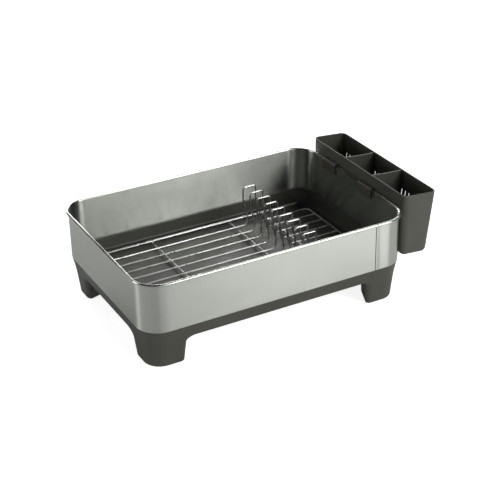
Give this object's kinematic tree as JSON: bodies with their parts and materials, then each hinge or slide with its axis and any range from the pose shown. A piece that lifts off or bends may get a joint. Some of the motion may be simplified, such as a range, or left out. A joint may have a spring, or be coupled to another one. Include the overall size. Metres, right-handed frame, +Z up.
{
  "type": "dish drying rack",
  "caption": "Dish drying rack: steel surround on a footed plastic drip tray, lift-out wire rack with upright plate loops, and a cutlery holder hooked on one end.",
  "frame": {"origin": "centre of the object's outline on the worktop, under the middle of its full length including the cutlery holder", "axes": "+X along the long side towards the cutlery holder, +Y towards the back long side, +Z up"},
  "size_m": [0.5439, 0.3318, 0.174],
  "materials": {
    "surround_steel": "satin, fine brushing along the sides, polished rolled rim",
    "rack_wire": "bright plated steel wire",
    "tray_plastic": "warm dark grey, fine satin texture",
    "holder_plastic": "warm dark grey, fine satin texture",
    "pad_rubber": "matte black",
    "rack_foot_rubber": "matte black"
  },
  "bodies": {
    "base": {"base_tray": "tray_plastic", "foot_pad_front_left": "pad_rubber", "foot_pad_front_right": "pad_rubber", "foot_pad_back_left": "pad_rubber", "foot_pad_back_right": "pad_rubber", "steel_surround": "surround_steel"},
    "wire_rack": {"rack_rail_back": "rack_wire", "rack_rail_front": "rack_wire", "rack_cross_rod_left": "rack_wire", "rack_cross_rod_middle": "rack_wire", "rack_cross_rod_right": "rack_wire", "outer_plate_wire": "rack_wire", "plate_wire_2": "rack_wire", "plate_wire_3": "rack_wire", "plate_wire_4": "rack_wire", "plate_wire_5": "rack_wire", "plate_wire_6": "rack_wire", "plate_wire_7": "rack_wire", "plate_wire_8": "rack_wire", "rack_foot_back_left": "rack_foot_rubber", "rack_foot_back_right": "rack_foot_rubber", "rack_foot_front_left": "rack_foot_rubber", "rack_foot_front_right": "rack_foot_rubber"},
    "holder": {"cutlery_holder": "holder_plastic"}
  },
  "joints": [
    {"name": "rack_lift", "type": "slide", "parent": "base", "child": "wire_rack", "axis": [0, 0, 1], "range_m": [0, 0.12]},
    {"name": "holder_lift", "type": "slide", "parent": "base", "child": "holder", "axis": [0, 0, 1], "range_m": [0, 0.12]}
  ]
}
